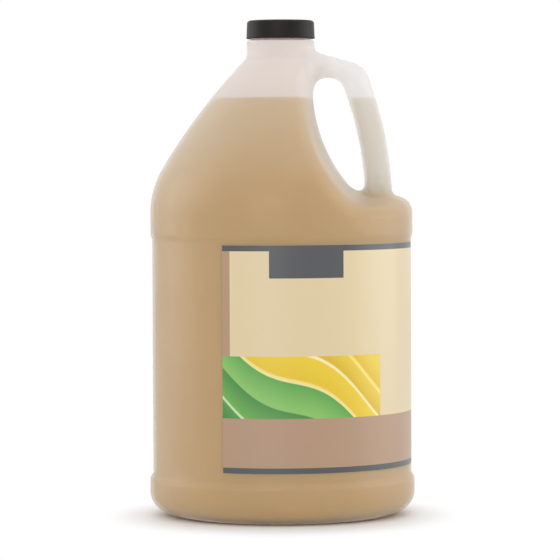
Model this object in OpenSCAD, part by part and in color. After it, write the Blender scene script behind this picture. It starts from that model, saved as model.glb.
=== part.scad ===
// One-gallon round jug with a hollow handle, its oil, wrap label, screw cap and cap liner.
// Blow-moulded in a two-part mould that parts along the XZ plane, so the finger recess has draft from there.
// Origin: centre of the ring that the jug stands on. +Z is up, the handle is on +X, the label faces -Y.

/* [Body] */
// Diameter of the label panel
panel_d = 151.8; // [140:0.1:165]
// Height of the label panel's lower edge above the floor
panel_z = 25.1; // [20:0.1:40]
// Height of the label panel from edge to edge
panel_h = 136.3; // [110:0.1:160]
// How far the heel bumper stands out from the label panel
heel_step = 1.9; // [0.8:0.1:3]
// How far the shoulder bumper stands out from the label panel
shoulder_step = 1; // [0.5:0.1:3]
// Height of the slope from the panel to each bumper
step_h = 4; // [2:0.5:6]
// Height of the straight part of the shoulder bumper
bumper_h = 11.7; // [8:0.1:20]
// Thickness of the blown wall
wall = 1; // [0.8:0.1:2]

/* [Base] */
// Height of the rounded heel
heel_h = 13.8; // [10:0.1:17]
// How far the rounded heel reaches inwards
heel_w = 16.7; // [12:0.1:22]
// Width of the ring that the jug stands on
ring_w = 5; // [3:0.5:8]
// Width of the slope from the standing ring up to the push-up
push_slope_w = 12; // [8:0.5:18]
// Height of the push-up at its edge
push_edge_h = 4.2; // [2:0.1:6]
// Height of the push-up at the middle of the base
push_h = 6; // [4:0.5:9]

/* [Shoulder] */
// Radius of the curve from the bumper into the shoulder
crown_r = 50.8; // [42:0.1:56]
// Angle through which that curve turns
crown_turn = 31; // [27:0.5:35]
// Radius of the long, nearly straight shoulder dome
dome_r = 355; // [280:5:420]
// Radius of the fillet between shoulder and neck
neck_fillet = 6; // [4:0.5:9]

/* [Finger recess] */
// Distance from the axis to the nearest point of the recess wall
recess_x = 18.8; // [16:0.1:20]
// Radius of the recess wall, which is hollow like a scoop
recess_r = 90; // [75:0.5:100]
// Depth of the recess wall's nearest point below the neck
recess_drop = 19.7; // [16:0.1:24]
// Height of the deck under the handle above the shoulder bumper
deck_rise = 11; // [9:0.5:15]
// Distance inwards from the grip's foot to where that height is measured
deck_in = 11.9; // [8:0.1:14]
// Outward fall of the deck, in degrees
deck_fall = 3; // [1:0.5:8]
// Draft of the recess from the parting plane, in degrees
draft = 7; // [5:0.5:9]
// Rounding of the recess's outer edges
edge_round = 10; // [6:0.5:14]
// Rounding of the crease between recess wall and deck
crease_round = 6.5; // [4:0.5:10]

/* [Handle] */
// Thickness of the grip, from its inner to its outer side
grip_t = 15.6; // [13:0.1:18]
// Width of the grip, from front to back
grip_w = 25.4; // [20:0.1:30]
// Thickness of the handle's top stretch
top_t = 12.1; // [11:0.1:15]
// Distance from the axis to the middle of the grip at its foot
grip_x = 57.5; // [54:0.1:60]
// Height above the shoulder bumper at which that foot starts to lean
grip_rise = 2; // [0:0.5:6]
// Radius of the long, gentle curve of the grip
grip_r = 214.9; // [180:0.1:260]
// Radius of the handle's outer corner
corner_r = 14; // [8:0.5:18]
// Radius of the finger hole's upper corners
hole_r = 9.4; // [7:0.1:11]
// Fall of the top stretch from neck to bend, in degrees
top_fall = 16; // [12:0.5:22]
// Height above the shoulder at which the top stretch's upper edge meets the neck
top_rise = 1.1; // [0:0.1:3]
// Rounding between the inner side of the grip and the deck
foot_round = 5; // [3:0.5:7]
// Rounding of the handle's roots at its sides and its outer face
root_round = 2.5; // [1:0.5:4]

/* [Neck and cap] */
// Outer diameter of the neck under the cap
neck_d = 39.6; // [38.5:0.1:41]
// Height of the neck from the shoulder fillet to the bead's top
bead_h = 7.7; // [6:0.1:10]
// Height of the bead's square lip, above the blown part of the neck
bead_lip = 1.2; // [0.8:0.1:2]
// Diameter of the threaded finish between its threads
finish_d = 35; // [34:0.1:36]
// Height of the threaded finish above the bead
finish_h = 9.7; // [9.5:0.1:11]
// Diameter of the bore through the finish
bore_d = 31.4; // [29:0.1:32]
// Outer diameter of the cap at its lower edge
cap_d = 40.2; // [39.6:0.1:41]
// How much narrower the cap is at its top
cap_taper = 0.8; // [0:0.1:1.4]
// Thickness of the cap's skirt
skirt_t = 1.1; // [0.9:0.05:1.2]
// Thickness of the cap's top
cap_top_t = 1.1; // [0.9:0.1:1.6]
// Rounding of the cap's top edge
cap_edge_r = 1.6; // [0.8:0.1:2]
// Gap between the bead and the cap's lower edge
cap_gap = 0.9; // [0.6:0.1:2]
// Thickness of the liner in the cap
liner_t = 1; // [0.8:0.1:1.5]

/* [Label] */
// Distance from the panel's lower edge to the label's
label_low_gap = 5.2; // [2:0.1:15]
// Distance from the label's upper edge to the panel's
label_top_gap = 1.5; // [1:0.1:10]
// Width of the label, measured round the panel
label_w = 360; // [300:1:440]
// Angle from the front to the label's left edge, in degrees
label_turn = 26.4; // [0:0.1:60]
// Thickness of the label
label_t = 0.25; // [0.2:0.05:0.5]
// Thickness of the adhesive under it
glue_t = 0.1; // [0.05:0.05:0.2]

/* [Oil] */
// Depth of the oil's surface below the neck
oil_drop = 26; // [20:0.2:60]

/* [Hidden] */
// Space between the wall and the solid that stands for the oil
oil_gap = 0.5;
// Space between the liner's edge and the cap's skirt
liner_gap = 0.25;
// How far a cutting solid runs past the face that it cuts
cut_over = 1;
// How far a ring of chords stays inside the true circle that it is joined to
chord_gap = 0.02;
// Distance under which two surfaces count as one
hair = 0.001;
// Share of the shoulder bumper's height that lies below the loft
loft_share = 0.25;
// Rows of the loft over the crown, over the dome and over the neck's fillet
crown_rows = 9;
dome_rows = 11;
fillet_rows = 3;
// Lean of the loft's rays at the end of the crown and at the end of the dome, in degrees
crown_lean = 48;
dome_lean = 38;
// How far outside the round shoulder a ray starts
ray_start = 2;
// Angle between the loft's columns on the side of the recess and behind, in degrees
recess_column = 5;
back_column = 9;
// Sides of the handle, and its rings along the foot, the grip, the bend and the top stretch
handle_sides = 18;
foot_rings = 3;
grip_rings = 12;
bend_rings = 8;
top_rings = 6;
// Length of the straight foot that runs down into the deck
foot_run = 9.8;
// Distance from the axis to the end of the top stretch, inside the neck
handle_end_x = 13;
// How much the top stretch narrows for each millimetre that it runs in under the neck
tuck_rate = 0.7;
// Points on the heel's curve, on each bumper's slope and on the cap's rounded edge
heel_points = 12;
slope_points = 4;
edge_points = 6;

panel_r = panel_d / 2;
heel_r = panel_r + heel_step;
bumper_r = panel_r + shoulder_step;
bumper_z = panel_z + panel_h + step_h;
crown_z = bumper_z + bumper_h;
neck_r = neck_d / 2;

// The shoulder's profile: crown, dome and fillet are three arcs, each tangent to the next
crown_c = [bumper_r - crown_r, crown_z];
dome_c = crown_c + (crown_r - dome_r) * dir(crown_turn);
neck_turn = acos((neck_r + neck_fillet - dome_c.x) / (dome_r + neck_fillet));
fillet_c = dome_c + (dome_r + neck_fillet) * dir(neck_turn);
neck_z = fillet_c.y;

// The recess: an arc of large radius for its wall, and a sloping deck
recess_c = [recess_x + recess_r, neck_z - recess_drop];
deck_z = crown_z + deck_rise;
deck_x = grip_x - deck_in;

// The handle in the parting plane: the grip's arc, and the reach of its top stretch along that one's normal
grip_c = [grip_x - grip_r, crown_z + grip_rise];
top_turn = 90 - top_fall;
top_reach = dir(top_turn) * [neck_r, neck_z + top_rise];

bead_z = neck_z + bead_h;
rim_z = bead_z + finish_h;
cap_z = bead_z + cap_gap;
cap_top_z = rim_z + liner_t + cap_top_t;
oil_z = neck_z - oil_drop;

// The lofted shoulder starts on the bumper and ends on the neck, where the shape is round
loft_z = bumper_z + bumper_h * loft_share;
loft_top_z = bead_z - bead_lip;

$fn = 96;

// The direction at an angle above the horizontal, in the plane of radius and height
function dir(a) = [cos(a), sin(a)];
function angle_of(v) = atan2(v.y, v.x);

// Blends of two surfaces over a distance k
function blend_min(a, b, k) = min(a, b) - pow(max(k - abs(a - b), 0), 2) / (4 * k);
function blend_max(a, b, k) = -blend_min(-a, -b, k);

// The round lower body from the standing ring to the loft, at a depth under the outer face
function heel_curve(depth) = [for (i = [0:heel_points]) let (a = 90 * i / heel_points)
    [heel_r - heel_w + (heel_w - depth) * sin(a), heel_h - (heel_h - depth) * cos(a)]];
function slope_curve(r0, r1, z, depth) = [for (i = [0:slope_points]) let (share = i / slope_points)
    [r0 - depth + (r1 - r0) * (1 - cos(180 * share)) / 2, z + step_h * share]];
function body_profile(depth) = let (ring_r = heel_r - heel_w - ring_w) concat(
    [[0, push_h + depth], [ring_r - push_slope_w, push_edge_h + depth], [ring_r, depth]],
    heel_curve(depth),
    slope_curve(heel_r, panel_r, panel_z - step_h, depth),
    slope_curve(panel_r, bumper_r, panel_z + panel_h, depth),
    [[bumper_r - depth, loft_z], [0, loft_z]]
);
module lower_body(depth) {
    rotate_extrude() polygon(body_profile(depth));
}

// Distance outside the round shoulder, as if it had no recess
function dome_gap(p) =
    p.y < crown_z ? p.x - bumper_r
    : angle_of(p - crown_c) < crown_turn ? norm(p - crown_c) - crown_r
    : angle_of(p - dome_c) < neck_turn ? norm(p - dome_c) - dome_r
    : p.y < neck_z ? neck_fillet - norm(p - fillet_c)
    : p.x - neck_r;

// Distance into the recess: inside the arc of its wall and above its deck, both with draft
function recess_gap(q, back) = let (
    into_wall = recess_r - norm([q.x + back - recess_c.x, q.y - recess_c.y]),
    above_deck = (q.y + back - deck_z + (q.x - deck_x) * tan(deck_fall)) * cos(deck_fall)
) blend_min(into_wall, above_deck, crease_round);

// Distance outside the blended shoulder at a radius and height in the upright plane at angle a
function shoulder_gap(p, a) =
    blend_max(dome_gap(p), recess_gap([p.x * cos(a), p.y], abs(p.x * sin(a)) * tan(draft)), edge_round);

// Where a ray that comes in through the profile at start, sloping down by lean, meets the surface at a depth
function surface_on_ray(start, lean, a, depth, near, far, steps = 20) =
    let (middle = (near + far) / 2, p = start - middle * dir(lean))
    steps == 0 ? p
    : shoulder_gap(p, a) > -depth ? surface_on_ray(start, lean, a, depth, middle, far, steps - 1)
    : surface_on_ray(start, lean, a, depth, near, middle, steps - 1);

// The rows of the loft: where each crosses the round profile, and how its rays lean
shoulder_rows = concat(
    [for (z = [loft_z, (loft_z + crown_z) / 2, crown_z]) [[bumper_r, z], 0]],
    [for (i = [1:crown_rows]) let (share = i / crown_rows)
        [crown_c + crown_r * dir(crown_turn * share), crown_lean * share]],
    [for (i = [1:dome_rows]) let (share = i / dome_rows, a = crown_turn + (neck_turn - crown_turn) * share)
        [dome_c + dome_r * dir(a), crown_lean + (dome_lean - crown_lean) * share]],
    [for (i = [1:fillet_rows]) let (share = 1 - i / fillet_rows)
        [fillet_c - neck_fillet * dir(neck_turn * share), dome_lean * share]],
    [[[neck_r, loft_top_z], 0]]
);

// The columns of the loft, closer together on the side of the recess
shoulder_columns = concat(
    [for (a = [-90:recess_column:90 - recess_column]) a],
    [for (a = [90:back_column:270 - back_column]) a]
);

// The faces of a tube of rings, with its two ends closed
function tube_faces(rings, sides) = concat(
    [[for (k = [0:sides - 1]) sides - 1 - k]],
    [for (j = [0:rings - 2]) for (k = [0:sides - 1])
        let (n = (k + 1) % sides, low = j * sides, high = low + sides)
        each [[low + k, low + n, high + n], [low + k, high + n, high + k]]],
    [[for (k = [0:sides - 1]) (rings - 1) * sides + k]]
);
module tube(rings) {
    polyhedron(
        points = [for (ring = rings) each ring],
        faces = tube_faces(len(rings), len(rings[0])),
        convexity = 6
    );
}

// The lofted shoulder, as a solid whose surface lies at a depth under the jug's outer face
module shoulder(depth) {
    tube([for (row = shoulder_rows) [for (a = shoulder_columns) let (
        start = row[0],
        lean = row[1],
        is_round = lean == 0 && shoulder_gap(start, a) < hair,
        p = is_round ? start - [depth + chord_gap, 0]
            : surface_on_ray(start, lean, a, depth, -ray_start, start.x / cos(lean))
    ) [p.x * cos(a), -p.x * sin(a), p.y]]]);
}

// One edge of the handle in the parting plane: a straight foot, the grip's arc, a corner and the top stretch
function handle_edge(edge_r, bend_r, reach) = let (
    turn = top_turn - acos((reach - bend_r - dir(top_turn) * grip_c) / (edge_r - bend_r)),
    bend_c = grip_c + (edge_r - bend_r) * dir(turn),
    bend_end = bend_c + bend_r * dir(top_turn),
    top_run = (bend_end.x - handle_end_x) / cos(top_fall)
) concat(
    [for (i = [0:foot_rings - 1]) grip_c + [edge_r, -foot_run * (1 - i / foot_rings)]],
    [for (i = [0:grip_rings]) grip_c + edge_r * dir(turn * i / grip_rings)],
    [for (i = [1:bend_rings]) bend_c + bend_r * dir(turn + (top_turn - turn) * i / bend_rings)],
    [for (i = [1:top_rings]) bend_end + top_run * i / top_rings * dir(180 - top_fall)]
);

// How much the handle grows at a point of it that comes near the shoulder, for a rounding of radius r
function root_flare(p, r) = let (reach = max(0, min(r, r - shoulder_gap(p, 0))))
    r - sqrt(pow(r, 2) - pow(reach, 2));

// The hollow handle, as a solid whose surface lies at a depth under its outer face
module handle(depth) {
    outer_edge = handle_edge(grip_r + grip_t / 2 - depth, corner_r - depth, top_reach - depth);
    inner_edge = handle_edge(grip_r - grip_t / 2 + depth, hole_r + depth, top_reach - top_t + depth);
    tube([for (i = [0:len(outer_edge) - 1]) let (
        across = (outer_edge[i] - inner_edge[i]) / norm(outer_edge[i] - inner_edge[i]),
        inner_round = i < foot_rings + grip_rings / 2 ? foot_round : hole_r * (1 + sin(top_fall)),
        out = outer_edge[i] + across * root_flare(outer_edge[i], root_round),
        in = inner_edge[i] - across * root_flare(inner_edge[i], inner_round),
        c = (outer_edge[i] + inner_edge[i]) / 2,
        half_w = grip_w / 2 + root_flare(c, root_round) - max(neck_r - c.x, 0) * tuck_rate - depth
    ) [for (k = [0:handle_sides - 1]) let (
        a = 360 * k / handle_sides,
        p = (out + in) / 2 + (out - in) / 2 * cos(a)
    ) [p.x, -half_w * sin(a), p.y]]]);
}

module neck() {
    difference() {
        union() {
            translate([0, 0, loft_top_z]) cylinder(r = neck_r, h = bead_z - loft_top_z);
            translate([0, 0, loft_top_z]) cylinder(d = finish_d, h = rim_z - loft_top_z);
        }
        translate([0, 0, loft_top_z]) cylinder(r1 = neck_r - wall, r2 = bore_d / 2, h = bead_lip);
        translate([0, 0, bead_z - cut_over]) cylinder(d = bore_d, h = finish_h + 2 * cut_over);
    }
}

module jug() {
    color([0.9, 0.86, 0.82, 0.6]) {
        difference() {
            lower_body(0);
            lower_body(wall);
        }
        difference() {
            union() {
                shoulder(0);
                handle(0);
            }
            shoulder(wall);
            handle(wall);
        }
        neck();
    }
}

module massage_oil() {
    color([0.72, 0.59, 0.41])
    intersection() {
        union() {
            lower_body(wall + oil_gap);
            shoulder(wall + oil_gap);
            handle(wall + oil_gap);
        }
        cylinder(r = panel_d, h = oil_z);
    }
}

module wrap_label() {
    color([0.88, 0.8, 0.64])
    translate([0, 0, panel_z + label_low_gap])
    rotate([0, 0, -90 - label_turn])
    rotate_extrude(angle = label_w / panel_r * 180 / PI)
    translate([panel_r + glue_t, 0]) square([label_t, panel_h - label_low_gap - label_top_gap]);
}

// The cap's half section: skirt, rounded top edge, flat top and the seat of the liner
function cap_profile() = let (
    low_r = cap_d / 2,
    top_r = low_r - cap_taper / 2
) concat(
    [[low_r - skirt_t, cap_z], [low_r, cap_z]],
    [for (i = [0:edge_points])
        [top_r - cap_edge_r, cap_top_z - cap_edge_r] + cap_edge_r * dir(90 * i / edge_points)],
    [[0, cap_top_z], [0, cap_top_z - cap_top_t], [top_r - skirt_t, cap_top_z - cap_top_t]]
);
module screw_cap() {
    color([0.18, 0.16, 0.15])
    rotate_extrude() polygon(cap_profile());
}

module cap_liner() {
    color([0.93, 0.93, 0.92])
    translate([0, 0, rim_z])
    cylinder(r = (cap_d - cap_taper) / 2 - skirt_t - liner_gap, h = liner_t);
}

jug();
massage_oil();
wrap_label();
screw_cap();
cap_liner();
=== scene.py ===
import math

import bmesh
import bpy
from mathutils import Matrix, Vector
from mathutils.bvhtree import BVHTree


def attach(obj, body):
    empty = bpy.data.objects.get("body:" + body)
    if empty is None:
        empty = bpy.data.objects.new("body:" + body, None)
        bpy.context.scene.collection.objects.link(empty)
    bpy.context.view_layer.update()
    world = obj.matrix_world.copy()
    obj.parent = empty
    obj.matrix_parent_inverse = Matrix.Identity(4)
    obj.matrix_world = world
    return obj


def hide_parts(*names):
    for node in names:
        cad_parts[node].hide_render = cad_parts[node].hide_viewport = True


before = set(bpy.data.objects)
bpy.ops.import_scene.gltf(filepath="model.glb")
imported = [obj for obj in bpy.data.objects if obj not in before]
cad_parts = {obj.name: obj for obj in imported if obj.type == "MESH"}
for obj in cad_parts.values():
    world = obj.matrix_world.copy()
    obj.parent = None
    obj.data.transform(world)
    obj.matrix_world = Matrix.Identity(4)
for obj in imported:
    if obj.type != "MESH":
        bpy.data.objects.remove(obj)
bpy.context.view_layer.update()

# --------------------------------------------------------------------------------------------------
# Jug: one extrusion-blow-moulded shell of natural high-density polyethylene, its hollow handle in
# the same wall. Body and neck are round, so they are turned here. The shoulder, its finger recess
# and the handle are the solid's own outer skin, made again from even squares and eased.
heel_r, panel_r, bumper_r, neck_r = 77.8, 75.9, 76.9, 19.8
wall = 1.0
join_low, join_high = 170.4, 275.2  # where the turned body and the turned neck meet the shoulder


def metres(points):
    """A profile of (radius, height) in millimetres as points in metres."""
    return [Vector((r, 0, z)) / 1000 for r, z in points]


def clamped(share):
    """A share kept between 0 and 1."""
    return max(0.0, min(share, 1.0))


def picked(geometry, kind):
    """The vertices, the edges or the faces out of what an operator gives back."""
    return [g for g in geometry if isinstance(g, kind)]


def mesh_of(bm, name):
    """Turns a bmesh into mesh data of that name."""
    mesh = bpy.data.meshes.new(name)
    bm.to_mesh(mesh)
    bm.free()
    return mesh


def placed(name, data):
    """A new object in the scene that holds a mesh, a lamp or a camera."""
    made = bpy.data.objects.new(name, data)
    bpy.context.scene.collection.objects.link(made)
    return made


def turned(profile, steps):
    """A surface turned once round the Z axis from an open profile."""
    bm = bmesh.new()
    points = [bm.verts.new(p) for p in metres(profile)]
    line = [bm.edges.new(pair) for pair in zip(points, points[1:])]
    bmesh.ops.spin(
        bm, geom=points + line, cent=(0, 0, 0), axis=(0, 0, 1), angle=math.tau, steps=steps,
        use_merge=True,
    )
    bmesh.ops.remove_doubles(bm, verts=bm.verts[:], dist=1e-6)
    return bm


def join_on(bm, other):
    """Adds another mesh's surface to a mesh."""
    mesh = mesh_of(other, "joined")
    bm.from_mesh(mesh)
    bpy.data.meshes.remove(mesh)


def merged_copy(name):
    """A copy of a CAD node's mesh with its loose triangles joined."""
    bm = bmesh.new()
    bm.from_mesh(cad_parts[name].data)
    bmesh.ops.remove_doubles(bm, verts=bm.verts[:], dist=1e-5)
    return bm


def cut_away(bm, height, way):
    """Removes what lies above (way 1) or below (way -1) a height in millimetres."""
    geometry = bm.verts[:] + bm.edges[:] + bm.faces[:]
    bmesh.ops.bisect_plane(
        bm, geom=geometry, dist=1e-7, plane_co=(0, 0, height / 1000), plane_no=(0, 0, way),
        clear_outer=True,
    )


def open_edges(bm, low, high):
    """The edges with one face, between two heights in millimetres."""
    edges = [e for e in bm.edges if len(e.link_faces) == 1]
    return [e for e in edges if all(low <= v.co.z * 1000 <= high for v in e.verts)]


def even_squares(bm, size):
    """The closed mesh made again from even squares of about that size in millimetres."""
    mesh = mesh_of(bm, "blank")
    blank = placed("blank", mesh)
    remesh = blank.modifiers.new("even squares", "REMESH")
    remesh.mode = "VOXEL"
    remesh.voxel_size = size / 1000
    fresh = bmesh.new()
    fresh.from_object(blank, bpy.context.evaluated_depsgraph_get())
    bpy.data.objects.remove(blank)
    bpy.data.meshes.remove(mesh)
    return fresh


def eased(bm, verts, times):
    """Evens out a surface by moving each vertex towards its neighbours."""
    for _ in range(times):
        bmesh.ops.smooth_vert(
            bm, verts=verts, factor=0.5, use_axis_x=True, use_axis_y=True, use_axis_z=True
        )


def off_axis(v):
    """A vertex's distance from the Z axis in metres."""
    return math.hypot(v.co.x, v.co.y)


def set_radius(verts, radius):
    """Moves vertices straight out or in to a radius in millimetres round the Z axis."""
    for v in verts:
        scale = radius / 1000 / off_axis(v)
        v.co.x *= scale
        v.co.y *= scale


# The shape that the skin is laid on, in millimetres and degrees. Each function with "gap" in its
# name says how far a point lies outside one form, as a minus number where it lies inside.
crown_z, crown_r, crown_turn = 177.1, 50.8, 31  # the round above the bumper, and where it ends
dome_r, fillet_r, neck_z = 355.0, 6.0, 270.399  # the long dome, and its fillet into the neck
recess_x, recess_r, recess_z, draft = 18.8, 90.0, 250.7, math.tan(math.radians(7))
deck_x, deck_z, deck_fall, crease = 45.6, 188.1, math.radians(3), 6.5
grip_x, grip_r, grip_rise, grip_t, grip_w = 57.5, 214.9, 2, 15.6, 25.4
top_t, top_rise, top_turn = 12.1, 1.1, 74.0  # the handle's top stretch, from the corner to the neck
corner_r, hole_r = 14.0, 9.4  # the corner outside, and in the finger hole
tuck_in, tuck = 4, 0.7  # how far inside the neck the handle starts to narrow, and how fast
edge_soft, edge_crisp = 10, 1.5  # the recess's edge, low down and at the neck
crisp_from, crisp_at = 256, 270
foot_join, foot_more, top_join, top_more = 4, 3, 3, 11  # the handle's fillets, wider in the hole
grip_middle = 225  # the height at which the one kind of fillet gives way to the other


def point_at(centre, radius, turn):
    """The point at a distance from a centre, at an angle in degrees above the horizontal."""
    return centre + radius * Vector((math.cos(math.radians(turn)), math.sin(math.radians(turn))))


def blended(a, b, span):
    """The smaller of two distances, with a soft change-over between them."""
    return min(a, b) - max(span - abs(a - b), 0) ** 2 / (4 * span)


crown_c = Vector((bumper_r - crown_r, crown_z))
dome_c = point_at(crown_c, crown_r - dome_r, crown_turn)
neck_turn = math.degrees(math.acos((neck_r + fillet_r - dome_c.x) / (dome_r + fillet_r)))
fillet_c = point_at(dome_c, dome_r + fillet_r, neck_turn)
grip_c = Vector((grip_x - grip_r, crown_z + grip_rise))
top_normal = point_at(Vector((0, 0)), 1, top_turn)
top_reach = top_normal.dot(Vector((neck_r, neck_z + top_rise)))


def angle_from(centre, point):
    """The angle in degrees above the horizontal at which a point is seen from a centre."""
    return math.degrees(math.atan2(point.y - centre.y, point.x - centre.x))


def dome_gap(p):
    """The round shoulder: straight foot, crown, dome, fillet and neck."""
    if p.y < crown_z:
        return p.x - bumper_r
    if angle_from(crown_c, p) < crown_turn:
        return (p - crown_c).length - crown_r
    if angle_from(dome_c, p) < neck_turn:
        return (p - dome_c).length - dome_r
    return fillet_r - (p - fillet_c).length if p.y < neck_z else p.x - neck_r


def recess_gap(p, back):
    """The finger recess: a wall of large radius and a sloping deck, drafted, in a soft crease."""
    wall_gap = recess_r - math.hypot(p.x + back - recess_x - recess_r, p.y - recess_z)
    above_deck = p.y + back - deck_z + (p.x - deck_x) * math.tan(deck_fall)
    return blended(wall_gap, above_deck * math.cos(deck_fall), crease)


def edge_gap(p, edge_r, bend_r, reach):
    """An edge of the handle seen from the side: foot, grip's arc, corner and top stretch."""
    cosine = (reach - bend_r - top_normal.dot(grip_c)) / (edge_r - bend_r)
    turn = top_turn - math.degrees(math.acos(cosine))
    bend_c = point_at(grip_c, edge_r - bend_r, turn)
    if turn < angle_from(bend_c, p) < top_turn:
        return (p - bend_c).length - bend_r
    grip_gap = (p - grip_c).length - edge_r if p.y > grip_c.y else p.x - grip_c.x - edge_r
    return max(grip_gap, top_normal.dot(p) - reach)


def handle_gap(p, side):
    """The handle, an oval tube between its outer edge and the edge of the finger hole. Gives as
    well where the point lies between them, from 1 at the outer edge to -1 at the hole."""
    outer = edge_gap(p, grip_r + grip_t / 2, corner_r, top_reach)
    inner = edge_gap(p, grip_r - grip_t / 2, hole_r, top_reach - top_t)
    out, half = (outer + inner) / 2, max((inner - outer) / 2, 1.0)
    width = grip_w / 2 - max(neck_r - tuck_in - p.x, 0) * tuck
    ratio = math.hypot(out / half, side / width)
    steepness = max(math.hypot(out / half**2, side / width**2), 1e-6)
    return ratio * (ratio - 1) / steepness, out / half


def skin_gap(v):
    """The finished outer skin: the dome less the recess, with the handle grown on softly."""
    x, side, z = v.co.x * 1000, abs(v.co.y * 1000), v.co.z * 1000
    near_neck = clamped((z - crisp_from) / (crisp_at - crisp_from))
    edge = edge_soft - (edge_soft - edge_crisp) * near_neck
    dome = dome_gap(Vector((math.hypot(x, side), z)))
    body_gap = -blended(-dome, -recess_gap(Vector((x, z)), side * draft), edge)
    if x < 0:
        return body_gap
    tube_gap, lean = handle_gap(Vector((x, z)), side)
    inward = clamped((1 - lean) / 2)
    at_foot, at_top = foot_join + inward * foot_more, top_join + math.sqrt(inward) * top_more
    return blended(body_gap, tube_gap, at_foot if z < grip_middle else at_top)


# The outer skin of the solid's shoulder and handle, which is what hangs together with the outermost
# point. Its two ends are lengthened, so that the edges to be joined lie well inside it, and it is
# made again from even squares and drawn on to that shape in a few passes, the first ones eased.
square_size, passes, eased_passes = 1.35, 6, 2
pull, longest_move = 0.9, 1.0
skin = merged_copy("jug")
cut_away(skin, join_low - 1, way=-1)
cut_away(skin, join_high + 1, way=1)
outermost = max(skin.verts, key=lambda v: v.co.x)
found, front = {outermost}, [outermost]
while front:
    front = [v for v in {e.other_vert(u) for u in front for e in u.link_edges} if v not in found]
    found.update(front)
bmesh.ops.delete(skin, geom=[v for v in skin.verts if v not in found], context="VERTS")
for low, high, run in ((0, 200, -8), (265, 300, 8)):  # the lower end and the upper one
    end = bmesh.ops.extrude_edge_only(skin, edges=open_edges(skin, low, high))["geom"]
    bmesh.ops.translate(skin, verts=picked(end, bmesh.types.BMVert), vec=(0, 0, run / 1000))
bmesh.ops.holes_fill(skin, edges=open_edges(skin, 0, 300), sides=0)
bmesh.ops.recalc_face_normals(skin, faces=skin.faces[:])
skin = even_squares(skin, square_size)
eased(skin, skin.verts[:], times=2)
shape = [v for v in skin.verts if join_low - 4 < v.co.z * 1000 < join_high + 4]
for step in range(passes):
    skin.normal_update()
    for v in shape:
        v.co -= v.normal * max(-longest_move, min(longest_move, skin_gap(v) * pull)) / 1000
    if step < eased_passes:
        eased(skin, shape, times=1)
cut_away(skin, join_low, way=-1)
cut_away(skin, join_high, way=1)
straight_to, straight_from = 176.1, 274.5  # the skin is truly round below the one, above the other
set_radius([v for v in skin.verts if v.co.z < straight_to / 1000], bumper_r)
set_radius([v for v in skin.verts if v.co.z > straight_from / 1000], neck_r)


def arc(centre, radii, start, end, steps):
    """Points on an arc from one angle to another, in degrees."""
    turns = [math.radians(start + (end - start) * i / steps) for i in range(steps + 1)]
    return [(centre[0] + radii[0] * math.cos(t), centre[1] + radii[1] * math.sin(t)) for t in turns]


def ramp(r0, r1, z0, z1, steps=8):
    """A soft S-shaped step from one radius to another."""
    shares = [i / steps for i in range(1, steps + 1)]
    return [(r0 + (r1 - r0) * (1 - math.cos(math.pi * s)) / 2, z0 + (z1 - z0) * s) for s in shares]


# The round body: push-up, standing ring, heel, label panel and the foot of the shoulder bumper
heel_in, heel_up = 16.7, 13.8
body = [(0, 6.0), (16, 5.8), (30, 5.2), (40, 4.5), (45, 3.5), (50, 1.7), (54, 0.4), (56.1, 0)]
body += arc((heel_r - heel_in, heel_up), (heel_in, heel_up), -90, 0, 22)
body += [(heel_r, 17), (heel_r, 20.2)] + ramp(heel_r, panel_r, 20.9, 25.3)
body += [(panel_r, z) for z in range(35, 151, 15)] + [(panel_r, 160.5)]
body += ramp(panel_r, bumper_r, 161.2, 165.6) + [(bumper_r, 167.5), (bumper_r, join_low - 1.2)]
join_on(skin, turned(body, steps=144))
bmesh.ops.bridge_loops(skin, edges=open_edges(skin, join_low - 2, join_low + 0.1))

# How much oil stands behind each point of the wall, level towards the axis, as a share of 150 mm.
# The rays start no lower than 14 mm, which is clear of the heel's round.
full_depth, lowest_ray = 150, 14
oil_solid = merged_copy("massage_oil")
bmesh.ops.recalc_face_normals(oil_solid, faces=oil_solid.faces[:])
oil_bvh = BVHTree.FromBMesh(oil_solid)


def mark_depth(bm, under, rounds):
    """Stores the oil's depth behind each vertex, from that far under it, and evens it out."""
    bm.normal_update()
    depth = bm.verts.layers.float.new("oil_depth")
    for v in bm.verts:
        start = v.co - v.normal * under / 1000
        start.z = max(start.z, lowest_ray / 1000)
        inwards = Vector((-start.x, -start.y, 0)).normalized()
        hit, normal, _, distance = oil_bvh.ray_cast(start, inwards)
        in_oil = hit and normal.dot(inwards) > 0
        v[depth] = min(distance / (full_depth / 1000), 1.0) if in_oil else 0.0
    for _ in range(rounds):
        near = [[e.other_vert(v)[depth] for e in v.link_edges] for v in bm.verts]
        for v, depths in zip(bm.verts, near):
            v[depth] = sum(depths) / len(depths)


bmesh.ops.recalc_face_normals(skin, faces=skin.faces[:])
mark_depth(skin, under=3.5, rounds=6)

# The inner side of the blown wall, marked as such
inner_side = skin.verts.layers.float.new("inner_side")
everything = skin.verts[:] + skin.edges[:] + skin.faces[:]
inner = bmesh.ops.duplicate(skin, geom=everything)["geom"]
inner_faces = picked(inner, bmesh.types.BMFace)
skin.normal_update()
shifts = {v: v.normal * wall / 1000 for v in picked(inner, bmesh.types.BMVert)}
for v, shift in shifts.items():
    v.co -= shift
    v[inner_side] = 1.0
bmesh.ops.reverse_faces(skin, faces=inner_faces)

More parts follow.
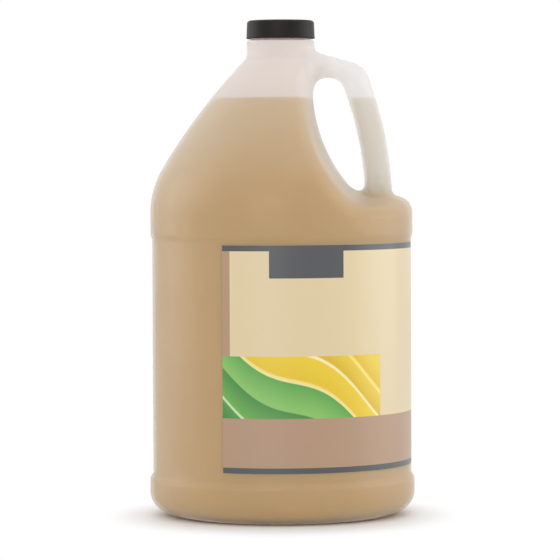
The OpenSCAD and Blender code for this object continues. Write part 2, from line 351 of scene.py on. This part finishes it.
# The neck: a square-shouldered bead, the finish for the thread, its rim, and the bore that opens
# into the blown neck, which is wider inside
finish_r, bore_r, bead_z, rim_z = 17.5, 15.7, 278.099, 287.799
finish_middle, neck_start = 283, join_high + 0.8
bead_edge, root_edge, rim_edge = 0.9, 0.5, 0.4
neck = [(neck_r, neck_start), (neck_r, bead_z - 1.0)]
neck += arc((neck_r - bead_edge, bead_z - bead_edge), (bead_edge, bead_edge), 0, 90, 6)
neck += arc((finish_r + root_edge, bead_z + root_edge), (root_edge, root_edge), 270, 180, 4)
neck += [(finish_r, finish_middle)]
neck += arc((finish_r - rim_edge, rim_z - rim_edge), (rim_edge, rim_edge), 0, 90, 5)
neck += arc((bore_r + rim_edge, rim_z - rim_edge), (rim_edge, rim_edge), 90, 180, 5)
neck += [(bore_r, finish_middle), (bore_r, bead_z)]
neck += [(neck_r - wall, bead_z - 1.2), (neck_r - wall, neck_start)]
join_on(skin, turned(neck, steps=120))
rings = open_edges(skin, join_high - 1.5, join_high + 2)
mid_wall = (neck_r - wall / 2) / 1000
outer_rings = [e for e in rings if all(off_axis(v) > mid_wall for v in e.verts)]
bmesh.ops.bridge_loops(skin, edges=outer_rings)
bmesh.ops.bridge_loops(skin, edges=[e for e in rings if e not in set(outer_rings)])
bmesh.ops.recalc_face_normals(skin, faces=skin.faces[:])
inside_neck, inside_bore = (neck_r - wall + 0.2) / 1000, (bore_r + 0.3) / 1000
inner_side = skin.verts.layers.float["inner_side"]
for v in skin.verts:
    limit = inside_neck if v.co.z * 1000 < bead_z else inside_bore
    if v.co.z * 1000 > join_high and off_axis(v) < limit:
        v[inner_side] = 1.0

# The thread on the finish: a right-handed ridge of one and a quarter turns that runs out softly at
# both ends
pitch, thread_turns, steps_a_turn, run_out = 4.233, 1.25, 72, 0.12


def thread(root_r, foot_r, flank_r, crest_r, start_turn, start_z):
    """A ridge wound up a right-handed helix, and sunk at both ends to the radius of its root."""
    half = [(root_r, 1.1), (foot_r, 1.05), (flank_r, 0.45)]
    section = [(r, -z) for r, z in half] + [(crest_r, 0)] + half[::-1]
    bm = bmesh.new()
    corners = [bm.verts.new(p) for p in metres([(r, z + start_z) for r, z in section])]
    face = bm.faces.new(corners)
    start = Matrix.Rotation(math.tau * start_turn, 3, "Z")
    bmesh.ops.rotate(bm, verts=corners, cent=(0, 0, 0), matrix=start)
    steps = round(steps_a_turn * thread_turns)
    climb = pitch * thread_turns / steps / 1000
    bmesh.ops.spin(
        bm, geom=[face] + list(face.edges) + corners, cent=(0, 0, 0), axis=(0, 0, 1),
        angle=math.tau * thread_turns, dvec=(0, 0, climb), steps=steps,
    )
    for v in bm.verts:
        wound = (v.co.z * 1000 - start_z) / pitch
        stands = clamped(min(wound, thread_turns - wound) / run_out)
        set_radius([v], root_r + (off_axis(v) * 1000 - root_r) * stands)
    bmesh.ops.recalc_face_normals(bm, faces=bm.faces[:])
    return bm


join_on(skin, thread(17.3, 17.55, 18.25, 18.35, start_turn=0.15, start_z=280.9))


def finished(bm, name, slot, body, *nodes, sharp=50):
    """Makes the finished piece: smooth but for edges sharper than that angle in degrees, with the
    body it rides on and the nodes it stands for. The slot, its finish, is not used."""
    bm.normal_update()
    for f in bm.faces:
        f.smooth = True
    for e in bm.edges:
        e.smooth = len(e.link_faces) != 2 or e.calc_face_angle(0) < math.radians(sharp)
    piece = placed(name, mesh_of(bm, name))
    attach(piece, body)
    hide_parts(*nodes)
    return piece


jug = finished(skin, "blown_jug", "natural_hdpe", "bottle", "jug")


def linear(code):
    """An sRGB hex colour as the linear colour that a shader takes."""
    parts = [int(code[i : i + 2], 16) / 255 for i in (1, 3, 5)]
    return (*[c / 12.92 if c <= 0.04045 else ((c + 0.055) / 1.055) ** 2.4 for c in parts], 1.0)


def add(tree, kind, settings=None, links=None):
    """Adds a node, sets its properties and input values, and links its inputs."""
    node = tree.nodes.new("ShaderNode" + kind)
    for key, value in (settings or {}).items():
        if isinstance(key, int) or key in node.inputs:
            node.inputs[key].default_value = value
        else:
            setattr(node, key, value)
    for key, source in (links or {}).items():
        tree.links.new(source, node.inputs[key])
    return node


def material(name, **surface):
    """A material of that name with its surface values set, its node tree and its shader."""
    made = bpy.data.materials.new(name)
    made.use_nodes = True
    shader = made.node_tree.nodes["Principled BSDF"]
    for key, value in surface.items():
        shader.inputs[key.replace("_", " ")].default_value = value
    return made, made.node_tree, shader


def feed(tree, shader, **sources):
    """Links what the nodes give to the shader's inputs of those names. A plain value that is set
    on such an input stays behind the link, for readers that don't follow it."""
    for key, source in sources.items():
        tree.links.new(source, shader.inputs[key.replace("_", " ")])


# The inputs and the output of a Mix node when it mixes colours
share_in, colour_a, colour_b, colour_out = 0, 6, 7, 2

# Moulded HDPE: milky and waxy. The wall scatters light, so what is behind it shows only as a soft
# tint, its gloss is satin from the sand-blasted mould, and a fine ridge runs round it in the plane
# of the handle, where the mould parts. Distances in the nodes are in metres.
hdpe, tree, shader = material(
    "moulded HDPE", Roughness=0.40, IOR=1.54, Alpha=0.52, Sheen_Weight=0.55, Sheen_Roughness=0.8,
    Subsurface_Weight=0.5, Subsurface_Scale=0.01, Subsurface_Radius=(1.0, 0.8, 0.6),
)
place = add(tree, "TexCoord")
split = add(tree, "SeparateXYZ", links={0: place.outputs["Object"]})
# Drawn parison: faint upright streaks about 6 mm apart and cloudy patches about 40 mm across
upright = add(tree, "Mapping", {"Scale": (160, 160, 9)}, {"Vector": place.outputs["Object"]})
streaks = add(tree, "TexNoise", {"Scale": 1.0, "Detail": 2.0}, {"Vector": upright.outputs[0]})
clouds = add(tree, "TexNoise", {"Scale": 25.0, "Detail": 3.0}, {"Vector": place.outputs["Object"]})
# Where the oil wets the wall it shows through it warmer, up to the level and a thin film above it
dry = add(
    tree, "MapRange", {"interpolation_type": "SMOOTHSTEP", "From Min": 0.2430, "From Max": 0.2456},
    {"Value": split.outputs["Z"]},
)
thickness = add(tree, "Attribute", {"attribute_name": "oil_depth"})
depth = add(tree, "Math", {"operation": "POWER", 1: 0.8}, {0: thickness.outputs["Fac"]})
filled = add(
    tree, "Mix",
    {"data_type": "RGBA", colour_a: linear("#ecdfc8"), colour_b: linear("#dcb476")},
    {share_in: depth.outputs[0]},
)
# Above the level the wall is pale, and paler with height
drained = add(
    tree, "MapRange", {"From Min": 0.2442, "From Max": 0.266}, {"Value": split.outputs["Z"]}
)
empty = add(
    tree, "Mix",
    {"data_type": "RGBA", colour_a: linear("#f0dacb"), colour_b: linear("#fbe2d8")},
    {share_in: drained.outputs[0]},
)
# The parison stretches most towards the handle, so the wall is thinner there, clearer and whiter
outwards = add(
    tree, "MapRange", {"interpolation_type": "SMOOTHSTEP", "From Min": 0.008, "From Max": 0.042},
    {"Value": split.outputs["X"]},
)
upper = add(tree, "MapRange", {"From Min": 0.188, "From Max": 0.200}, {"Value": split.outputs["Z"]})
thin = add(tree, "Math", {"operation": "MULTIPLY"}, {0: outwards.outputs[0], 1: upper.outputs[0]})
whiter = add(
    tree, "Mix", {"data_type": "RGBA", colour_b: linear("#fdf4ef")},
    {share_in: thin.outputs[0], colour_a: empty.outputs[colour_out]},
)
tint = add(
    tree, "Mix", {"data_type": "RGBA"},
    {
        share_in: dry.outputs[0],
        colour_a: filled.outputs[colour_out],
        colour_b: whiter.outputs[colour_out],
    },
)
cloudy = add(
    tree, "Mix", {"data_type": "RGBA", "blend_type": "MULTIPLY", share_in: 0.10},
    {colour_a: tint.outputs[colour_out], colour_b: clouds.outputs["Fac"]},
)
# The mould's grit frosts the outer side, and the blown inner side is smooth and clearer
which_side = add(tree, "Attribute", {"attribute_name": "inner_side"})
frost = add(
    tree, "MapRange", {"To Min": 0.52, "To Max": 0.14}, {"Value": which_side.outputs["Fac"]}
)
milk_left = add(tree, "MapRange", {"To Min": 1.0, "To Max": 0.65}, {"Value": thin.outputs[0]})
milky = add(tree, "Math", {"operation": "MULTIPLY"}, {0: frost.outputs[0], 1: milk_left.outputs[0]})
# Parting ridge 1 mm wide at its foot, and the mould's grit, which is drawn about 1 mm apart,
# coarser than it is, so that it shows
away = add(tree, "Math", {"operation": "ABSOLUTE"}, {0: split.outputs["Y"]})
parting = add(
    tree, "MapRange",
    {"interpolation_type": "SMOOTHSTEP", "From Max": 0.0005, "To Min": 1.0, "To Max": 0.0},
    {"Value": away.outputs[0]},
)
grit = add(tree, "TexNoise", {"Scale": 900.0, "Detail": 1.0}, {"Vector": place.outputs["Object"]})
gritty = add(
    tree, "Math", {"operation": "MULTIPLY_ADD", 1: 0.10},
    {0: grit.outputs["Fac"], 2: parting.outputs[0]},
)
relief = add(
    tree, "Math", {"operation": "MULTIPLY_ADD", 1: 0.35},
    {0: streaks.outputs["Fac"], 2: gritty.outputs[0]},
)
bump = add(tree, "Bump", {"Strength": 0.5, "Distance": 0.0003}, {"Height": relief.outputs[0]})
feed(tree, shader, Base_Color=cloudy.outputs[colour_out], Alpha=milky.outputs[0])
feed(tree, shader, Normal=bump.outputs[0])
jug.data.materials.append(hdpe)

# --------------------------------------------------------------------------------------------------
# Oil: the filling, pale tan and clear. It lies against the wall all round, in the handle too, and
# its level is flat.
oil_z, level_band, level_lean = 244.399, 0.9, 0.8  # the level, and what is drawn flat to it
bm = even_squares(oil_solid, size=1.9)
eased(bm, bm.verts[:], times=5)
for v in bm.verts:
    level = v.co.z * 1000 > oil_z - level_band and v.normal.z > level_lean
    v.co.z = oil_z / 1000 if level else min(v.co.z, oil_z / 1000)
mark_depth(bm, under=0.4, rounds=12)
oil = finished(bm, "oil_fill", "oil", "bottle", "massage_oil", sharp=60)

# Massage oil: a clear tan liquid that looks deeper where there is more of it, with a faint haze in
# patches about 55 mm across
liquid, tree, shader = material(
    "pale tan oil", Roughness=0.12, IOR=1.47,
    Subsurface_Weight=0.6, Subsurface_Scale=0.012, Subsurface_Radius=(1.0, 0.7, 0.4),
)
thickness = add(tree, "Attribute", {"attribute_name": "oil_depth"})
depth = add(tree, "Math", {"operation": "POWER", 1: 0.8}, {0: thickness.outputs["Fac"]})
deep = add(
    tree, "Mix",
    {"data_type": "RGBA", colour_a: linear("#ebdbb9"), colour_b: linear("#c79748")},
    {share_in: depth.outputs[0]},
)
place = add(tree, "TexCoord")
haze = add(tree, "TexNoise", {"Scale": 18.0, "Detail": 2.0}, {"Vector": place.outputs["Object"]})
hazy = add(
    tree, "Mix", {"data_type": "RGBA", "blend_type": "MULTIPLY", share_in: 0.08},
    {colour_a: deep.outputs[colour_out], colour_b: haze.outputs["Fac"]},
)
# Where it stands in a thin column, in the handle, light comes through it
opaque = add(
    tree, "MapRange", {"From Min": 0.05, "From Max": 0.30, "To Min": 0.15},
    {"Value": thickness.outputs["Fac"]},
)
feed(tree, shader, Base_Color=hazy.outputs[colour_out], Alpha=opaque.outputs[0])
oil.data.materials.append(liquid)

# --------------------------------------------------------------------------------------------------
# Label: one self-adhesive sheet of printed film, stuck round the sunk panel for about three
# quarters of the way. Its inks meet edge to edge: dark bands at both edges, a plate under the upper
# one, cream, brown and a picture band.
label_r, label_t, label_low = 76.0, 0.25, 30.3
label_length, label_height = 360, 129.6
left = -26.4  # the left edge, in degrees round from the front
sweep = label_length / panel_r * 180 / math.pi
# The inks' edges, up from the lower edge in millimetres and round from the left edge in degrees
band_top, brown_top, picture_top, plate_low, band_low = 3.2, 31.3, 66.7, 111.0, 126.4
margin, plate_left, plate_right, picture_right = 3.5, 21.0, 54.0, 74.1
slate_ink, brown_ink, cream_ink, picture_ink = range(4)

bm = bmesh.new()
ink_heights = {0, band_top, brown_top, picture_top, plate_low, band_low, label_height}
heights = sorted(ink_heights | {15, 45, 56, 80, 95})
line = [bm.verts.new(p) for p in metres([(label_r, label_low + z) for z in heights])]
edges = [bm.edges.new(pair) for pair in zip(line, line[1:])]
ink_turns = {0, margin, plate_left, plate_right, picture_right}
plain_turns = {s for s in range(2, int(sweep), 2) if min(abs(s - t) for t in ink_turns) > 0.7}
stations = sorted(ink_turns | plain_turns | {sweep})
for start, end in zip(stations, stations[1:]):
    spun = bmesh.ops.spin(
        bm, geom=line + edges, cent=(0, 0, 0), axis=(0, 0, 1), angle=math.radians(end - start),
        steps=1,
    )["geom_last"]
    line, edges = picked(spun, bmesh.types.BMVert), picked(spun, bmesh.types.BMEdge)
to_left = Matrix.Rotation(math.radians(left - 90), 3, "Z")  # the front is at -90
bmesh.ops.rotate(bm, verts=bm.verts[:], cent=(0, 0, 0), matrix=to_left)
bmesh.ops.recalc_face_normals(bm, faces=bm.faces[:])
if sum(f.normal.xy.dot(f.calc_center_median().xy) for f in bm.faces) < 0:
    bmesh.ops.reverse_faces(bm, faces=bm.faces[:])


def turn_of(point):
    """Degrees round from the label's left edge."""
    return (math.degrees(math.atan2(point.y, point.x)) + 90 - left) % 360


print_unit = 100  # millimetres of the label to one unit of its print
spread = bm.loops.layers.uv.new("print")
for f in bm.faces:
    middle = f.calc_center_median()
    z, turn = middle.z * 1000 - label_low, turn_of(middle)
    if z < band_top or z > band_low or (z > plate_low and plate_left < turn < plate_right):
        f.material_index = slate_ink
    elif z < brown_top or (turn < margin and z > picture_top):
        f.material_index = brown_ink
    elif z < picture_top and turn < picture_right:
        f.material_index = picture_ink
    else:
        f.material_index = cream_ink
    for corner in f.loops:
        turn = turn_of(corner.vert.co)
        across = (0 if turn > 300 else turn) * math.pi / 180 * panel_r  # past 300 is the left edge
        up = corner.vert.co.z * 1000 - label_low
        corner[spread].uv = (across / print_unit, up / print_unit)
bmesh.ops.solidify(bm, geom=bm.faces[:], thickness=label_t / 1000)
label = finished(bm, "printed_label", "printed_label", "bottle", "wrap_label", sharp=30)


def film(name, ink):
    """Printed film: an even satin coat over the ink, with the paper-like mottle of its print."""
    made, tree, shader = material(
        name, Roughness=0.38, IOR=1.5, Coat_Weight=0.4, Coat_Roughness=0.25
    )
    sheet = add(tree, "UVMap", {"uv_map": "print"})
    # Ink mottle of about 1 mm, and slack in the film of about 30 mm
    mottle = add(tree, "TexNoise", {"Scale": 100.0, "Detail": 2.0}, {"Vector": sheet.outputs[0]})
    slack = add(tree, "TexNoise", {"Scale": 3.0, "Detail": 1.0}, {"Vector": sheet.outputs[0]})
    printed = add(
        tree, "Mix", {"data_type": "RGBA", "blend_type": "MULTIPLY", share_in: 0.05},
        {colour_b: mottle.outputs["Fac"]},
    )
    if isinstance(ink, str):
        printed.inputs[colour_a].default_value = linear(ink)
    else:
        tree.links.new(ink(tree, sheet), printed.inputs[colour_a])
    bump = add(
        tree, "Bump", {"Strength": 0.2, "Distance": 0.0004}, {"Height": slack.outputs["Fac"]}
    )
    feed(tree, shader, Base_Color=printed.outputs[colour_out], Normal=bump.outputs[0])
    return made


def ribbons(tree, sheet):
    """A free pattern of broad ribbons that drift from green to yellow, parted by pale lines."""
    split = add(tree, "SeparateXYZ", links={0: sheet.outputs[0]})
    waves = add(tree, "Math", {"operation": "MULTIPLY", 1: 7.5}, {0: split.outputs["X"]})
    sway = add(tree, "Math", {"operation": "SINE"}, {0: waves.outputs[0]})
    lift = add(
        tree, "Math", {"operation": "MULTIPLY_ADD", 1: 0.055},
        {0: sway.outputs[0], 2: split.outputs["Y"]},
    )
    drift = add(
        tree, "Math", {"operation": "MULTIPLY_ADD", 1: 0.62},
        {0: split.outputs["X"], 2: lift.outputs[0]},
    )
    along = add(tree, "MapRange", {"From Min": 0.30, "From Max": 1.24}, {"Value": drift.outputs[0]})
    bands = add(tree, "ValToRGB", links={0: along.outputs[0]})
    stops = [
        (0.00, "#3c7d3a"), (0.13, "#4f9a41"), (0.135, "#cfe3b4"), (0.15, "#cfe3b4"),
        (0.155, "#69b04a"), (0.32, "#3f8a3d"), (0.325, "#8cc665"), (0.50, "#5aa546"),
        (0.505, "#f3e7a6"), (0.525, "#f6e27c"), (0.53, "#e9c41f"), (0.68, "#f0cf2a"),
        (0.685, "#faf0b8"), (0.70, "#faf0b8"), (0.705, "#dcb714"), (0.84, "#efce3a"),
        (0.845, "#f8e98e"), (0.87, "#f3d94a"), (0.875, "#e3bd1c"), (1.00, "#edcf3c"),
    ]
    scale = bands.color_ramp.elements
    while len(scale) > 1:
        scale.remove(scale[0])
    scale[0].position, scale[0].color = stops[0][0], linear(stops[0][1])
    for position, code in stops[1:]:
        scale.new(position).color = linear(code)
    return bands.outputs[0]


for ink in (
    film("printed film, slate ink", "#4c4d51"),
    film("printed film, brown ink", "#b39276"),
    film("printed film, cream ink", "#e3cfa6"),
    film("printed film, green and yellow ribbons", ribbons),
):
    label.data.materials.append(ink)

# --------------------------------------------------------------------------------------------------
# Cap liner: a disc of white foamed polyethylene, punched from sheet and pressed into the cap's top.
# The rim of the neck has left its ring in the lower face.
liner_r, liner_t, ring_depth = 18.35, 1.0, 0.1
low_edge, top_edge, liner_top = 0.15, 0.1, rim_z + liner_t
ring_z = rim_z + ring_depth
disc = [(0, rim_z), (14.9, rim_z), (15.4, ring_z), (17.3, ring_z), (17.7, rim_z)]
disc += arc((liner_r - low_edge, rim_z + low_edge), (low_edge, low_edge), -90, 0, 3)
disc += arc((liner_r - top_edge, liner_top - top_edge), (top_edge, top_edge), 0, 90, 3)
disc += [(9, liner_top), (0, liner_top)]
bm = turned(disc, steps=96)
bmesh.ops.recalc_face_normals(bm, faces=bm.faces[:])
liner = finished(bm, "foam_liner", "liner_foam", "liner", "cap_liner", sharp=40)

# Foamed polyethylene: dull white with closed cells of about 0.4 mm
foam, tree, shader = material("foamed polyethylene", Roughness=0.75, IOR=1.5)
place = add(tree, "TexCoord")
cells = add(tree, "TexVoronoi", {"Scale": 2500.0}, {"Vector": place.outputs["Object"]})
shade = add(
    tree, "Mix",
    {"data_type": "RGBA", colour_a: linear("#f4f3f0"), colour_b: linear("#dedcd6")},
    {share_in: cells.outputs["Distance"]},
)
bump = add(
    tree, "Bump", {"Strength": 0.4, "Distance": 0.0001, "invert": True},
    {"Height": cells.outputs["Distance"]},
)
feed(tree, shader, Base_Color=shade.outputs[colour_out], Normal=bump.outputs[0])
liner.data.materials.append(foam)

# --------------------------------------------------------------------------------------------------
# Cap: a 38 mm screw cap, injection-moulded from black polypropylene, with a plain tapered skirt, a
# soft top edge and a single-start thread inside. It screws down until its liner meets the rim.
cap_r, cap_z, cap_top_z, skirt_t, taper = 20.1, 278.999, 289.899, 1.1, 0.4
skirt_in, top_r, ceiling_z = cap_r - skirt_t, cap_r - taper, cap_top_z - 1.1
soft_w, soft_h, soft_z = 2.2, 1.9, cap_top_z - 2.0  # the soft top edge
inside = [(0, ceiling_z), (9, ceiling_z)]
inside += [(skirt_in - taper - 0.3, ceiling_z), (skirt_in - taper, ceiling_z - 0.3)]
inside += [(skirt_in, cap_z + 0.3), (skirt_in + 0.3, cap_z)]
outside = [(cap_r - 0.25, cap_z), (cap_r, cap_z + 0.25)]
outside += [(cap_r, cap_z + 1.3), (cap_r - 0.12, cap_z + 1.55), (top_r, soft_z)]
outside += arc((top_r - soft_w, soft_z), (soft_w, soft_h), 8, 90, 8)
outside += [(15.5, cap_top_z - 0.06), (12, cap_top_z), (0, cap_top_z)]
bm = turned((inside + outside)[::-1], steps=120)
bmesh.ops.recalc_face_normals(bm, faces=bm.faces[:])
join_on(bm, thread(19.2, 18.95, 17.95, 17.85, start_turn=0.55, start_z=280.485))
cap = finished(bm, "screw_cap_moulding", "black_polypropylene", "cap", "screw_cap", sharp=45)

# Moulded polypropylene, black: satin from a spark-eroded tool, grey where light grazes it, a little
# warm in tone. The tool's grain is about 0.3 mm, and handling has left marks of about 8 mm.
polypropylene, tree, shader = material(
    "moulded polypropylene, black", Roughness=0.42, IOR=1.49, Specular_IOR_Level=0.2
)
place = add(tree, "TexCoord")
grain = add(tree, "TexNoise", {"Scale": 3000.0, "Detail": 1.0}, {"Vector": place.outputs["Object"]})
marks = add(tree, "TexNoise", {"Scale": 120.0, "Detail": 3.0}, {"Vector": place.outputs["Object"]})
shade = add(
    tree, "Mix",
    {"data_type": "RGBA", colour_a: linear("#15120f"), colour_b: linear("#1f1b18")},
    {share_in: marks.outputs["Fac"]},
)
rough = add(tree, "MapRange", {"To Min": 0.36, "To Max": 0.48}, {"Value": marks.outputs["Fac"]})
bump = add(tree, "Bump", {"Strength": 0.25, "Distance": 0.00008}, {"Height": grain.outputs["Fac"]})
feed(tree, shader, Base_Color=shade.outputs[colour_out], Roughness=rough.outputs[0])
feed(tree, shader, Normal=bump.outputs[0])
cap.data.materials.append(polypropylene)

# --------------------------------------------------------------------------------------------------
# Studio: a white table and a white room, seen as plain white, with soft light from both sides, from
# above and from the front. Only close to the jug does the table show its own shade and a shadow.
bm = bmesh.new()
bmesh.ops.create_grid(bm, x_segments=1, y_segments=1, size=3.0)
table = placed("table", mesh_of(bm, "table"))
laminate, tree, shader = material(
    "white laminate", Roughness=0.6, IOR=1.45, Base_Color=linear("#f2f2f2")
)
place = add(tree, "TexCoord")
pool = add(
    tree, "Mapping", {"Location": (0, 0.012, 0), "Scale": (1.12, 1, 1)},
    {"Vector": place.outputs["Object"]},
)
span = add(tree, "VectorMath", {"operation": "LENGTH"}, {0: pool.outputs[0]})
fade = add(
    tree, "MapRange", {"interpolation_type": "SMOOTHSTEP", "From Min": 0.073, "From Max": 0.120},
    {"Value": span.outputs["Value"]},
)
rays = add(tree, "LightPath")
seen = add(
    tree, "Math", {"operation": "MULTIPLY"}, {0: fade.outputs[0], 1: rays.outputs["Is Camera Ray"]}
)
white = add(tree, "Emission", {"Color": (1, 1, 1, 1), "Strength": 1.0})
final = add(
    tree, "MixShader", links={0: seen.outputs[0], 1: shader.outputs[0], 2: white.outputs[0]}
)
tree.links.new(final.outputs[0], tree.nodes["Material Output"].inputs["Surface"])
table.data.materials.append(laminate)

world = bpy.data.worlds.new("white room")
bpy.context.scene.world = world
world.use_nodes = True
tree = world.node_tree
rays = add(tree, "LightPath")
direct = add(
    tree, "Math", {"operation": "MAXIMUM"},
    {0: rays.outputs["Is Camera Ray"], 1: rays.outputs["Is Transmission Ray"]},
)
shown = add(
    tree, "Math", {"operation": "MAXIMUM"}, {0: direct.outputs[0], 1: rays.outputs["Is Glossy Ray"]}
)
strength = add(tree, "MapRange", {"To Min": 0.69, "To Max": 1.0}, {"Value": shown.outputs[0]})
room = tree.nodes["Background"]
room.inputs["Color"].default_value = (1, 1, 1, 1)
feed(tree, room, Strength=strength.outputs[0])


def softbox(name, spot, size, power):
    """A square soft lamp that looks at the middle of the jug."""
    lamp = bpy.data.lights.new(name, "AREA")
    lamp.size = size
    lamp.energy = power
    box = placed(name, lamp)
    box.location = spot
    box.rotation_euler = (Vector((0, 0, 0.14)) - box.location).to_track_quat("-Z", "Y").to_euler()


softbox("softbox_left", (-1.3, 0.3, 0.35), 1.0, 4.0)
softbox("softbox_right", (1.35, 0.1, 0.4), 1.2, 6.5)
softbox("softbox_above", (0.0, -0.3, 1.6), 1.2, 4.0)
softbox("softbox_front", (-0.4, -1.8, 0.6), 1.0, 5.0)

# The camera stands level with the finger recess and looks down a little over two degrees
down, roll = 2.271, 0.25
camera = placed("camera", bpy.data.cameras.new("camera"))
camera.data.lens = 218.8
camera.data.sensor_width = 36.0
camera.data.clip_end = 20.0
camera.location = (-0.0006, -2.0, 0.2168)
camera.rotation_euler = (math.radians(90 - down), math.radians(roll), 0)
bpy.context.scene.camera = camera
bpy.context.scene.view_settings.view_transform = "Standard"
